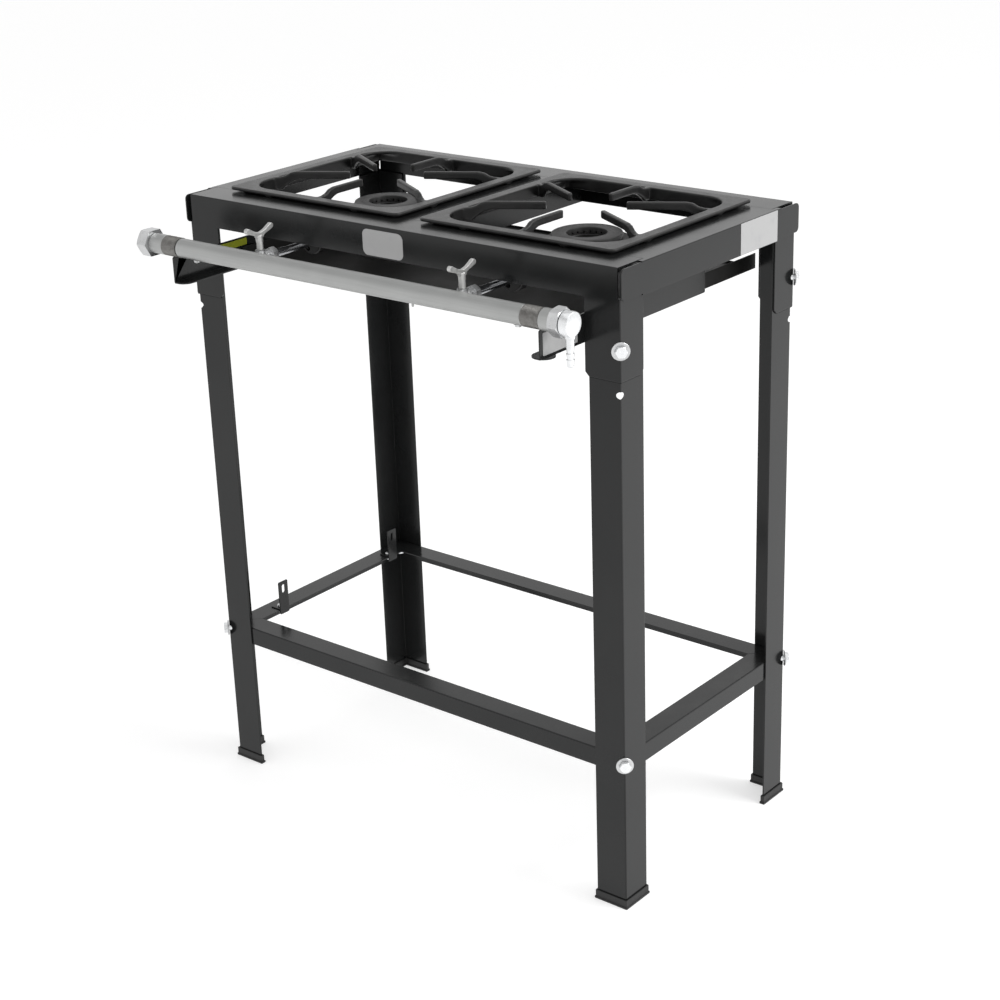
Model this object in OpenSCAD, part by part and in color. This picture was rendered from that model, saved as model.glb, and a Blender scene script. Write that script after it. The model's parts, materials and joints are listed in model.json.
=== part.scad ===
// Two-burner propane stand. A folded sheet top stands on four angle legs, and
// carries two cast ring burners, two lift-off pan supports and a drip tray.
// A gas manifold with two taps and a hose inlet runs along the front.
// Millimetres, +Z up, front towards -Y. The origin is on the floor, at the
// centre of the whole outline.

/* [Top] */
// Width over the side panels
top_w = 710; // [690:2:730]
// Depth from the front face to the rear face
top_d = 374; // [370:2:386]
// Height of the top surface above the floor
top_h = 838; // [780:2:900]
// Height of the panels round the top
panel_h = 40; // [38:1:44]
// Thickness of the sheet and of the angles
sheet_t = 2; // [1.6:0.1:2.2]
// Side of each square hob opening
hob = 275; // [270:1:276]

/* [Legs] */
// Flange width of the leg angles
leg_w = 45; // [40:1:50]
// Length of the sleeves that hang from the top's corners
sleeve_l = 136; // [130:1:140]
// Height of the plastic foot shoes
shoe_h = 12.5; // [10:0.5:20]

/* [Shelf frame] */
// Height of the shelf frame's top face
shelf_z = 216; // [160:2:320]
// Height of the shelf rails
shelf_h = 25; // [24:1:30]
// Width of the shelf rails' top flange
shelf_flange = 32.5; // [28:0.5:40]

/* [Gas line] */
// Outer diameter of the manifold pipe
pipe_d = 25; // [24.6:0.1:25.4]
// Distance of the pipe axis in front of the frame's centre
pipe_fwd = 262; // [258:1:270]
// Depth of the pipe axis below the top surface
pipe_drop = 48; // [46:0.5:50]
// Wing span of the tap handles
wing_span = 47; // [36:1:56]

/* [Burners] */
// Diameter of the burner bowls over their flange
burner_d = 115; // [104:1:130]
// Diameter of the loose burner caps
cap_d = 90; // [88:1:92]
// Diameter of the open middle of each burner
eye_d = 51; // [48:1:52]

/* [Pan supports] */
// Side of each pan support
grate_w = 297; // [294:1:300]
// Distance of the finger tips from the burner axis
tip_r = 50; // [48:1:70]
// Height of the fingers above the top surface
finger_rise = 15.4; // [14:0.2:20]

/* [Hidden] */
$fn = 96;

// frame planes, counted from the frame's own centre
half_w = top_w / 2;
half_d = top_d / 2;
side_gap = 2;
sleeve_x = half_w - sheet_t - side_gap;
leg_x = sleeve_x - sheet_t;
leg_y = half_d - sheet_t;
shelf_x = leg_x - sheet_t;
shelf_y = leg_y - sheet_t;
panel_z = top_h - panel_h;
sleeve_z = top_h - sleeve_l;
divider_half = 28;
divider_web = 20;
hob_y = hob / 2;
hob_x = divider_half + hob / 2;
ear_y = half_d + 3;
ear_l = 41.5;
ear_r = 6;
relief_w = 1.6;
relief_z = panel_z + 3;
sleeve_flange = 51;
chamfer = 6;

// foot shoes
shoe_base = 3;
shoe_wall = 2;
shoe_lip = 1;

// slotted tabs on the left shelf rail
tab_front_y = -106.5;
tab_rear_y = 129;
tab_foot_x = 8.5;
tab_screw_r = 2;
tab_hole_r = tab_screw_r + 0.3;
tab_t = 1.6;
tab_w = 18;
tab_up = 43;
tab_down = 7;
slot_w = 6;
slot_l = 13;
slot_z = shelf_z + tab_up - 15;

// fasteners of the frame
bolt_z = top_h - 97;
spare_z = top_h - 152;
shelf_bolt_z = shelf_z - 10;
m8_r = 4;
m8_hole_r = 4.5;
m8_af = 13;
m8_head = 5.3;
m8_l = 24;
m8_nut = 6.5;
washer_t = 1.6;
washer_r = 11;
diag = sqrt(2);
nut_seat = 2 * sheet_t * diag + m8_af / 2 / cos(30) + 0.4;
hex_cut = 1.5;

// brackets, tray and burner bar
bracket_x = sleeve_x - sleeve_flange;
bracket_top = top_h - 60;
bracket_z = bracket_top - 35;
bracket_back = 62;
bracket_front = -pipe_fwd - 8;
bracket_flange = 20;
pad_l = 44;
pad_w = 18;
pad_back = 2;
pad_screw = 6.5;
tray_t = 1.2;
tray_gap = 0.3;
tray_z = bracket_z + sheet_t + tray_gap;
tray_front = -150;
tray_back = half_d - sheet_t - 1;
tray_x = bracket_x - sheet_t - 2;
bar_t = 3;
bar_half = 15;

// gas line
pipe_r = pipe_d / 2;
pipe_y = -pipe_fwd;
pipe_z = top_h - pipe_drop;
bore_r = 10.5;
pipe_left = -289;
pipe_right = 275;
thread_l = 25.5;
thread_r = 13.1;
neck_r = 13;
adapter_r = 13.3;
stud_x = [-263, 105];
stud_r = 1.5;
stud_l = 4;
thread_pitch = 1.8;
thread_depth = 0.8;
hex_af = 33;
end_x = half_w + 0.5;
cap_hex_l = 17;
adapter_x = 316;
nut_l = 14;
nut_af = 31;
nut_turn = 12;
swivel_r = 8;
fit = 0.06;
collar_x = adapter_x + 9.2;
head_l = 12;
head_r = 15;
barb_r = 4.75;
barb_low = 50;
barb_neck = 12;
barb_collar = 2;
barb_collar_r = 6;
gas_r = 3;
tap_y = pipe_y + 20;
tap_hex_y = pipe_y + 35;
tap_hex_l = 9;
tap_hex_af = 17;
stem_r = 3;
stem_z = pipe_z + 3;
hub_z = pipe_z + 10.4;
wing_z = pipe_z + 37.5;
wing_t = 5;
injector_r = 5;
injector_y = tap_hex_y + 5.5;
pipe_screw_x = [-270, 258];

// burners and pan supports
eye_r = eye_d / 2;
cap_r = cap_d / 2;
wall = 3;
bowl_z = bracket_top + 4;
bowl_top = top_h - 32;
cap_gap = 0.3;
cap_top = top_h - 23;
tube_r = 13;
mouth_y = -150;
mouth_r = 16;
mouth_wall = 2.6;
injector_end = mouth_y + 6.5;
jet_l = 8;
shutter_t = 1.6;
shutter_gap = 0.8;
air_holes = 3;
air_hole_r = 3.6;
air_pcd_r = 9.6;
ports = 20;
port_r = 1.3;
boss_dx = 35;
grate_half = grate_w / 2;
rim_z = top_h + 2.7;
rim_t = 4.5;
rim_in = 131.5;
rim_web_r = 40;
skirt_half = hob_y - 1;
skirt_drop = 9;
finger_w = 6;
finger_h = 10;
grate_gap = 0.2;
screw_r = 3;
label_t = 0.5;

// the whole outline, with the bolt heads behind, is centred on the origin front to back
front_y = pipe_y - hex_af / 2 / cos(30);
bolt_reach = (washer_t + m8_head - 0.7 * hex_cut + m8_af / 2 / cos(30)) / diag;
centre_shift = -(front_y + half_d + bolt_reach) / 2;

paint = [0.13, 0.13, 0.135];
iron = [0.2, 0.2, 0.2];
zinc = [0.82, 0.83, 0.84];
steel_pipe = [0.66, 0.67, 0.67];
alloy = [0.78, 0.78, 0.77];

// ---- shared shapes ----

// moves a shape from the frame's own centre to the outline's centre
module placed() {
    translate([0, centre_shift, 0]) children();
}

// turns a front right corner shape to the corner on side sx (-1 left) and sy (-1 front)
module at_corner(sx, sy) {
    mirror([sx < 0 ? 1 : 0, 0, 0])
        mirror([0, sy > 0 ? 1 : 0, 0])
            children();
}

// angle section at the front right corner, with its outer corner at (cx, -cy)
module corner_angle(cx, cy, w, t, z0, z1) {
    translate([cx, -cy, z0])
        linear_extrude(z1 - z0)
            polygon([[0, 0], [0, w], [-t, w], [-t, t], [-w, t], [-w, 0]]);
}

// puts a shape drawn along +Z on the diagonal that points out of the front right corner
module on_diagonal(cx, cy, z) {
    translate([cx, -cy, z])
        rotate([0, 0, -45])
            rotate([0, 90, 0])
                children();
}

module diagonal_hole(cx, cy, z) {
    on_diagonal(cx, cy, z)
        translate([0, 0, -40])
            cylinder(r = m8_hole_r, h = 60);
}

// outline drawn in (y, z) and given a thickness along +X
module plate_yz(x0, t) {
    translate([x0, 0, 0])
        rotate([90, 0, 90])
            linear_extrude(t)
                children();
}

// outline drawn in (x, z) and given a thickness along +Y
module plate_xz(y0, t) {
    translate([0, y0 + t, 0])
        rotate([90, 0, 0])
            linear_extrude(t)
                children();
}

module rounded_square(half, r) {
    square([2 * half, 2 * (half - r)], center = true);
    square([2 * (half - r), 2 * half], center = true);
    for (sx = [-1, 1], sy = [-1, 1])
        translate([sx * (half - r), sy * (half - r)])
            circle(r);
}

module rounded_box(w, h, r) {
    translate([r, 0]) square([w - 2 * r, h]);
    translate([0, r]) square([w, h - 2 * r]);
    for (x = [r, w - r], y = [r, h - r])
        translate([x, y])
            circle(r);
}

// hexagon bar with a turned chamfer on its far end
module hex_bar(af, l) {
    r = af / 2 / cos(30);
    intersection() {
        cylinder(r = r, h = l, $fn = 6);
        union() {
            cylinder(r = r + 1, h = l - hex_cut);
            translate([0, 0, l - hex_cut]) cylinder(r1 = r + 0.6, r2 = af / 2 - 0.4, h = hex_cut);
        }
    }
}

// shape drawn along +Z, laid on the pipe's axis from x0 towards +X
module on_pipe(x0) {
    translate([x0, pipe_y, pipe_z])
        rotate([0, 90, 0])
            children();
}

// shape drawn along +Z, laid at height z from y0 towards +Y
module towards_back(x, y0, z) {
    translate([x, y0, z])
        rotate([-90, 0, 0])
            children();
}

// ---- top ----

module apron_sheet() {
    inner = sleeve_x - sleeve_flange;
    difference() {
        union() {
            plate_xz(-half_d, sheet_t)
                polygon([
                    [-sleeve_x, top_h], [-sleeve_x, sleeve_z],
                    [-inner - chamfer, sleeve_z], [-inner, sleeve_z + chamfer],
                    [-inner, panel_z], [inner, panel_z],
                    [inner, sleeve_z + chamfer], [inner + chamfer, sleeve_z],
                    [sleeve_x, sleeve_z], [sleeve_x, top_h]
                ]);
            apron_flange = sleeve_x - sheet_t - relief_w;
            translate([-apron_flange, -half_d, top_h - sheet_t])
                cube([2 * apron_flange, half_d - hob_y, sheet_t]);
            for (sx = [-1, 1])
                mirror([sx < 0 ? 1 : 0, 0, 0])
                    plate_yz(sleeve_x - sheet_t, sheet_t)
                        polygon([
                            [-half_d, sleeve_z], [-half_d + leg_w - chamfer, sleeve_z],
                            [-half_d + leg_w, sleeve_z + chamfer],
                            [-half_d + leg_w, top_h - 2 * sheet_t], [-half_d, top_h - 2 * sheet_t]
                        ]);
        }
        for (sx = [-1, 1])
            mirror([sx < 0 ? 1 : 0, 0, 0]) {
                translate([sleeve_x - sheet_t - relief_w, -half_d - 1, relief_z])
                    cube([relief_w + sheet_t + 1, sheet_t + 1, panel_h]);
                translate([sleeve_x - sheet_t - 1, -half_d - 1, top_h - 2 * sheet_t])
                    cube([sheet_t + 2, sheet_t + 2, panel_h]);
                diagonal_hole(sleeve_x, half_d, bolt_z);
            }
    }
}

module front_apron() {
    placed() color(paint) apron_sheet();
}

module rear_apron() {
    placed() color(paint) mirror([0, 1, 0]) apron_sheet();
}

// side panel with its folded top flange and the two ears that cover the sleeves
module side_rail_sheet() {
    body_y = ear_y - ear_l;
    ear_z0 = panel_z + 2;
    ear_h = panel_h - 3;
    plate_yz(half_w - sheet_t, sheet_t) {
        translate([-body_y, panel_z]) square([2 * body_y, panel_h]);
        translate([-ear_y, ear_z0]) rounded_box(2 * ear_y, ear_h, ear_r);
    }
    translate([0, 0, top_h - sheet_t])
        linear_extrude(sheet_t)
            polygon([
                [hob_x + hob_y, -hob_y], [sleeve_x - sheet_t - 1, -hob_y],
                [sleeve_x - sheet_t - 1, -body_y], [half_w - 0.5, -body_y],
                [half_w - 0.5, body_y], [sleeve_x - sheet_t - 1, body_y],
                [sleeve_x - sheet_t - 1, hob_y], [hob_x + hob_y, hob_y]
            ]);
}

module side_rail_left() {
    placed() color(paint) mirror([1, 0, 0]) side_rail_sheet();
}

module side_rail_right() {
    placed() color(paint) side_rail_sheet();
}

// hat section between the two hob openings
module centre_divider() {
    placed() color(paint) {
        translate([-divider_half, -hob_y, top_h - sheet_t])
            cube([2 * divider_half, 2 * hob_y, sheet_t]);
        for (x = [-divider_web, divider_web - sheet_t])
            translate([x, -leg_y, panel_z])
                cube([sheet_t, 2 * leg_y, panel_h - sheet_t]);
    }
}

// ---- legs ----

module leg(sx, sy) {
    placed() color(paint)
        at_corner(sx, sy)
            difference() {
                corner_angle(leg_x, leg_y, leg_w, sheet_t, shoe_base, panel_z + 2);
                diagonal_hole(leg_x, leg_y, bolt_z);
                diagonal_hole(leg_x, leg_y, spare_z);
                diagonal_hole(leg_x, leg_y, shelf_bolt_z);
            }
}

module foot(sx, sy) {
    lip = shoe_wall + shoe_lip;
    placed() color("black")
        at_corner(sx, sy)
            difference() {
                union() {
                    corner_angle(leg_x + shoe_wall, leg_y + shoe_wall, leg_w + 2 * shoe_wall,
                        sheet_t + 2 * shoe_wall, 0, shoe_h);
                    corner_angle(leg_x + lip, leg_y + lip, leg_w + 2 * lip, sheet_t + 2 * lip, 0, shoe_base);
                }
                corner_angle(leg_x, leg_y, leg_w, sheet_t, shoe_base, shoe_h + 1);
            }
}

module leg_front_left() { leg(-1, -1); }
module leg_front_right() { leg(1, -1); }
module leg_rear_left() { leg(-1, 1); }
module leg_rear_right() { leg(1, 1); }
module foot_front_left() { foot(-1, -1); }
module foot_front_right() { foot(1, -1); }
module foot_rear_left() { foot(-1, 1); }
module foot_rear_right() { foot(1, 1); }

// ---- shelf frame ----

// strip along the front edge of a frame l by d, mitred at both ends
module mitred_strip(l, d, w, z0, z1) {
    translate([0, 0, z0])
        linear_extrude(z1 - z0)
            polygon([[-l, -d], [l, -d], [l - w, -d + w], [-l + w, -d + w]]);
}

module shelf_rail(turn, l, d) {
    placed() color(paint)
        difference() {
            rotate([0, 0, turn]) {
                mitred_strip(l, d, shelf_flange, shelf_z - sheet_t, shelf_z);
                mitred_strip(l, d, sheet_t, shelf_z - shelf_h, shelf_z);
            }
            for (sx = [-1, 1], sy = [-1, 1])
                at_corner(sx, sy) diagonal_hole(shelf_x, shelf_y, shelf_bolt_z);
            for (y = [tab_front_y, tab_rear_y])
                translate([-shelf_x + shelf_flange - tab_foot_x, y, shelf_z - 10])
                    cylinder(r = tab_hole_r, h = 20);
        }
}

module shelf_rail_front() { shelf_rail(0, shelf_x, shelf_y); }
module shelf_rail_rear() { shelf_rail(180, shelf_x, shelf_y); }
module shelf_rail_right() { shelf_rail(90, shelf_y, shelf_x); }
module shelf_rail_left() { shelf_rail(-90, shelf_y, shelf_x); }

// slotted L tab, screwed on the inner edge of the left shelf rail
module shelf_tab(y) {
    edge = -shelf_x + shelf_flange;
    placed() color(paint)
        difference() {
            union() {
                plate_yz(edge, tab_t)
                    translate([y - tab_w / 2, shelf_z - tab_down])
                        rounded_box(tab_w, tab_up + tab_down, 2);
                translate([edge - 2 * tab_foot_x, y - tab_w / 2, shelf_z])
                    cube([2 * tab_foot_x + tab_t, tab_w, tab_t]);
            }
            translate([edge - 1, 0, 0])
                plate_yz(0, tab_t + 2)
                    for (z = [0, slot_l - slot_w])
                        translate([y, slot_z + z])
                            circle(slot_w / 2);
            translate([edge - 1, y - slot_w / 2, slot_z])
                cube([tab_t + 2, slot_w, slot_l - slot_w]);
            translate([edge - tab_foot_x, y, shelf_z - 1])
                cylinder(r = tab_hole_r, h = tab_t + 2);
        }
}

module shelf_tab_front() { shelf_tab(tab_front_y); }
module shelf_tab_rear() { shelf_tab(tab_rear_y); }

module tab_screws() {
    placed() color(zinc)
        for (y = [tab_front_y, tab_rear_y])
            translate([-shelf_x + shelf_flange - tab_foot_x, y, shelf_z + tab_t]) {
                cylinder(r1 = 4.2, r2 = 3.4, h = 2.4);
                translate([0, 0, -10]) cylinder(r = tab_screw_r, h = 10.5);
            }
}

// ---- leg fasteners: one set at each sleeve and one at each shelf corner ----

module at_bolts() {
    for (sx = [-1, 1], sy = [-1, 1])
        at_corner(sx, sy) {
            on_diagonal(sleeve_x, half_d, bolt_z) children();
            on_diagonal(leg_x, leg_y, shelf_bolt_z) children();
        }
}

module leg_bolts() {
    placed() color(zinc)
        at_bolts() {
            translate([0, 0, washer_t]) rotate([0, 0, 30]) hex_bar(m8_af, m8_head);
            translate([0, 0, washer_t - m8_l]) cylinder(r = m8_r, h = m8_l);
        }
}

module leg_washers() {
    placed() color(zinc)
        at_bolts()
            difference() {
                cylinder(r = washer_r, h = washer_t);
                translate([0, 0, -1]) cylinder(r = m8_r + 0.2, h = washer_t + 2);
            }
}

module leg_nuts() {
    placed() color(zinc)
        at_bolts()
            translate([0, 0, -nut_seat - m8_nut])
                difference() {
                    rotate([0, 0, 30]) cylinder(r = m8_af / 2 / cos(30), h = m8_nut, $fn = 6);
                    translate([0, 0, -1]) cylinder(r = m8_r + 0.02, h = m8_nut + 2);
                }
}

// ---- brackets, tray and burner bar ----

// angle bracket on the right side: it carries the pipe in front, guides the
// tray on its bottom flange and holds the burner bar
module bracket_sheet(screw_x) {
    corner_r = 14;
    difference() {
        union() {
            plate_yz(bracket_x - sheet_t, sheet_t)
                translate([bracket_front, bracket_z])
                    rounded_box(bracket_back - bracket_front, bracket_top - bracket_z, 2.5);
            translate([0, 0, bracket_z])
                linear_extrude(sheet_t) {
                    translate([bracket_x - bracket_flange, bracket_front + corner_r])
                        square([bracket_flange - 0.3, bracket_back - bracket_front - corner_r]);
                    translate([bracket_x - bracket_flange + corner_r, bracket_front])
                        square([bracket_flange - corner_r - 0.3, corner_r + 1]);
                    translate([bracket_x - bracket_flange + corner_r, bracket_front + corner_r])
                        circle(corner_r);
                }
            translate([bracket_x - sheet_t - pad_l, pipe_y + pad_back, pipe_z - pipe_r - sheet_t])
                cube([pad_l + 1, pad_w, sheet_t]);
        }
        on_pipe(bracket_x - sheet_t - pad_l - 1) cylinder(r = pipe_r + 0.05, h = pad_l + sheet_t + 2);
        translate([screw_x, pipe_y + pad_screw, pipe_z - pipe_r - 10]) cylinder(r = 2.8, h = 20);
    }
}

module bracket_left() {
    placed() color(paint) mirror([1, 0, 0]) bracket_sheet(-pipe_screw_x[0]);
}

module bracket_right() {
    placed() color(paint) bracket_sheet(pipe_screw_x[1]);
}

module drip_tray() {
    lip = 11;
    hem = 4.5;
    side_wall = 20;
    placed() color(paint) {
        for (x = [-tray_x, tray_x - tray_t])
            translate([x, tray_front, tray_z])
                cube([tray_t, tray_back - tray_front, side_wall]);
        translate([-tray_x, tray_front, tray_z])
            cube([2 * tray_x, tray_back - tray_front, tray_t]);
        translate([-tray_x, tray_front, tray_z])
            cube([2 * tray_x, tray_t, lip]);
        translate([-tray_x, tray_front, tray_z + lip - tray_t])
            cube([2 * tray_x, 7, tray_t]);
        translate([-tray_x, tray_back - tray_t, tray_z])
            cube([2 * tray_x, tray_t, hem]);
    }
}

module at_burner_screws() {
    for (sx = [-1, 1], dx = [-boss_dx, boss_dx])
        translate([sx * hob_x + dx, 0, 0])
            children();
}

module burner_bar() {
    placed() color(paint)
        difference() {
            translate([-bracket_x + sheet_t, -bar_half, bracket_top - bar_t])
                cube([2 * (bracket_x - sheet_t), 2 * bar_half, bar_t]);
            at_burner_screws()
                translate([0, 0, bracket_top - bar_t - 1])
                    cylinder(r = screw_r + 0.2, h = bar_t + 2);
        }
}

module burner_screws() {
    placed() color(zinc)
        at_burner_screws() {
            translate([0, 0, bracket_top - bar_t - 4]) cylinder(r = 10 / 2 / cos(30), h = 4, $fn = 6);
            translate([0, 0, bracket_top - bar_t - 0.5]) cylinder(r = screw_r, h = bar_t + 6);
        }
}

// ---- gas line ----

// ridges of a taper thread as a turned profile, from z = 0 to l
module thread(l, r) {
    n = floor(l / thread_pitch);
    p = l / n;
    rotate_extrude()
        polygon(concat(
            [[0, 0]],
            [for (i = [0 : n - 1]) each [[r - thread_depth, i * p], [r, (i + 0.5) * p]]],
            [[r - thread_depth, l], [0, l]]
        ));
}

module manifold_pipe() {
    placed() color(steel_pipe)
        difference() {
            union() {
                on_pipe(pipe_left) cylinder(r = pipe_r, h = pipe_right - pipe_left);
                on_pipe(pipe_left - thread_l) thread(thread_l, thread_r);
                on_pipe(pipe_right) thread(thread_l, thread_r);
                for (x = stud_x)
                    translate([x, pipe_y, pipe_z - pipe_r - stud_l]) cylinder(r = stud_r, h = stud_l + 1);
            }
            on_pipe(pipe_left - thread_l - 1)
                cylinder(r = bore_r, h = pipe_right - pipe_left + 2 * thread_l + 2);
            for (sx = [-1, 1])
                towards_back(sx * hob_x, pipe_y, pipe_z) cylinder(r = gas_r, h = pipe_r + 2);
            for (x = pipe_screw_x)
                translate([x, pipe_y + pad_screw, pipe_z - pipe_r - 2]) cylinder(r = 2.6, h = 8);
        }
}

module pipe_screws() {
    placed() color(zinc)
        for (x = pipe_screw_x)
            translate([x, pipe_y + pad_screw, pipe_z - pipe_r - sheet_t]) {
                translate([0, 0, -3]) cylinder(r1 = 3.6, r2 = 4.6, h = 3);
                translate([0, 0, -0.5]) cylinder(r = 2.5, h = 6.5);
            }
}

// plug in the left end of the pipe
module end_cap() {
    hex_x = -end_x + cap_hex_l;
    neck_x = pipe_left - thread_l;
    placed() color(zinc) {
        on_pipe(hex_x) rotate([0, 180, 0]) rotate([0, 0, 30]) hex_bar(hex_af, cap_hex_l);
        on_pipe(hex_x) cylinder(r = neck_r, h = neck_x - hex_x);
        on_pipe(neck_x - 0.5) cylinder(r = bore_r - 0.1, h = 16);
    }
}

// nipple in the right end of the pipe
module inlet_adapter() {
    end = pipe_right + thread_l;
    placed() color(zinc)
        difference() {
            union() {
                on_pipe(end - 18) cylinder(r = bore_r - 0.1, h = 19);
                on_pipe(end) cylinder(r = adapter_r, h = adapter_x - end);
                on_pipe(adapter_x - 1) cylinder(r = 10.4, h = 10);
            }
            on_pipe(end - 20) cylinder(r = 6, h = 60);
        }
}

module union_nut() {
    placed() color(zinc)
        difference() {
            on_pipe(adapter_x) rotate([0, 0, 30 + nut_turn]) hex_bar(nut_af, nut_l);
            on_pipe(adapter_x - 1) cylinder(r = 10.5, h = 11);
            on_pipe(adapter_x) cylinder(r = swivel_r + fit, h = nut_l + 1);
        }
}

// swivelling hose tail: a turned head with a barb that hangs from it
module hose_elbow() {
    head_x = adapter_x + nut_l + 0.4;
    barb_x = head_x + head_l / 2;
    ridge = 7;
    placed() color(zinc)
        difference() {
            union() {
                on_pipe(collar_x) cylinder(r = 10.1, h = 0.6);
                on_pipe(collar_x) cylinder(r = swivel_r, h = head_x + 0.6 - collar_x);
                on_pipe(head_x) cylinder(r = head_r, h = head_l - 1);
                on_pipe(head_x + head_l - 1) cylinder(r1 = head_r, r2 = head_r - 1, h = 1);
                translate([barb_x, pipe_y, pipe_z - head_r - barb_neck])
                    cylinder(r = barb_r, h = barb_neck + head_r - 5);
                translate([barb_x, pipe_y, pipe_z - head_r - barb_collar])
                    cylinder(r = barb_collar_r, h = barb_collar + head_r - 5);
                for (i = [0 : 2])
                    translate([barb_x, pipe_y, pipe_z - head_r - barb_neck - (i + 1) * ridge])
                        cylinder(r1 = barb_r - 0.9, r2 = barb_r, h = ridge);
                translate([barb_x, pipe_y, pipe_z - barb_low])
                    cylinder(r = barb_r - 0.9, h = 4);
            }
            translate([barb_x, pipe_y, pipe_z - barb_low - 1]) cylinder(r = 2.5, h = barb_low);
            on_pipe(adapter_x + 8) cylinder(r = 4, h = nut_l + head_l / 2 - 4);
        }
}

// plug cock on the back of the pipe
module tap(sx) {
    placed() color(zinc)
        difference() {
            union() {
                towards_back(sx * hob_x, pipe_y, pipe_z) cylinder(r = 7, h = tap_hex_y - pipe_y + 1);
                towards_back(sx * hob_x, tap_hex_y, pipe_z) rotate([0, 0, 30]) hex_bar(tap_hex_af, tap_hex_l);
                translate([sx * hob_x, tap_y, pipe_z - 10]) cylinder(r = 6.5, h = 20);
                translate([sx * hob_x, tap_y, pipe_z - 12]) cylinder(r = 5, h = 3);
            }
            on_pipe(sx * hob_x - 20) cylinder(r = pipe_r, h = 40);
            translate([sx * hob_x, tap_y, stem_z]) cylinder(r = stem_r + fit, h = 8);
            towards_back(sx * hob_x, injector_y - 0.5, pipe_z) cylinder(r = injector_r + 0.05, h = 6);
        }
}

module tap_left() { tap(-1); }
module tap_right() { tap(1); }

// Y-shaped wing handle on its spindle
module tap_handle(sx) {
    tip = wing_span / 2 - 3.5;
    crotch = wing_z - 5;
    neck = stem_r + 1.2;
    placed() color(alloy)
        translate([sx * hob_x, tap_y, 0]) {
            translate([0, 0, stem_z + 0.3]) cylinder(r = stem_r, h = 8);
            translate([0, 0, hub_z]) cylinder(r = neck, h = crotch - hub_z - 4);
            plate_yz(-wing_t / 2, wing_t) {
                polygon([
                    [-neck, wing_z - 17.5], [-neck - 0.2, wing_z - 12.5], [-7, wing_z - 8.5],
                    [-12, wing_z - 6.5], [-tip - 1, wing_z - 3.4], [-tip + 1, wing_z + 3.4],
                    [-8, crotch + 2.2], [0, crotch], [8, crotch + 2.2],
                    [tip - 1, wing_z + 3.4], [tip + 1, wing_z - 3.4], [12, wing_z - 6.5],
                    [7, wing_z - 8.5], [neck + 0.2, wing_z - 12.5], [neck, wing_z - 17.5]
                ]);
                for (s = [-1, 1])
                    translate([s * tip, wing_z])
                        circle(3.5);
            }
        }
}

module tap_handle_left() { tap_handle(-1); }
module tap_handle_right() { tap_handle(1); }

// tube from the tap with the jet in its end
module injector(sx) {
    placed() color(zinc)
        difference() {
            union() {
                towards_back(sx * hob_x, injector_y, pipe_z)
                    cylinder(r = injector_r, h = injector_end - injector_y);
                towards_back(sx * hob_x, injector_end - 0.5, pipe_z) cylinder(r1 = 4, r2 = 3, h = jet_l);
            }
            towards_back(sx * hob_x, injector_y - 0.5, pipe_z)
                cylinder(r = gas_r, h = injector_end - jet_l - injector_y);
            towards_back(sx * hob_x, injector_end - jet_l - 2, pipe_z) cylinder(r = 0.6, h = 2 * jet_l + 4);
        }
}

module injector_left() { injector(-1); }
module injector_right() { injector(1); }

// ---- burners ----

module air_hole_cut(x, y0, h) {
    for (i = [0 : air_holes - 1])
        towards_back(x, y0, pipe_z)
            rotate([0, 0, i * 360 / air_holes])
                translate([air_pcd_r, 0, 0])
                    cylinder(r = air_hole_r, h = h);
}

// disc that turns on the injector tube in front of the mixing tube
module air_shutter(sx) {
    y0 = mouth_y - shutter_gap - shutter_t;
    placed() color(zinc)
        difference() {
            union() {
                towards_back(sx * hob_x, y0, pipe_z) cylinder(r = mouth_r - 1, h = shutter_t);
                translate([sx * hob_x - 2, y0, pipe_z + mouth_r - 3]) cube([4, shutter_t, 7]);
            }
            towards_back(sx * hob_x, y0 - 1, pipe_z) cylinder(r = injector_r + 0.3, h = shutter_t + 2);
            air_hole_cut(sx * hob_x, y0 - 1, shutter_t + 2);
        }
}

module air_shutter_left() { air_shutter(-1); }
module air_shutter_right() { air_shutter(1); }

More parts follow.
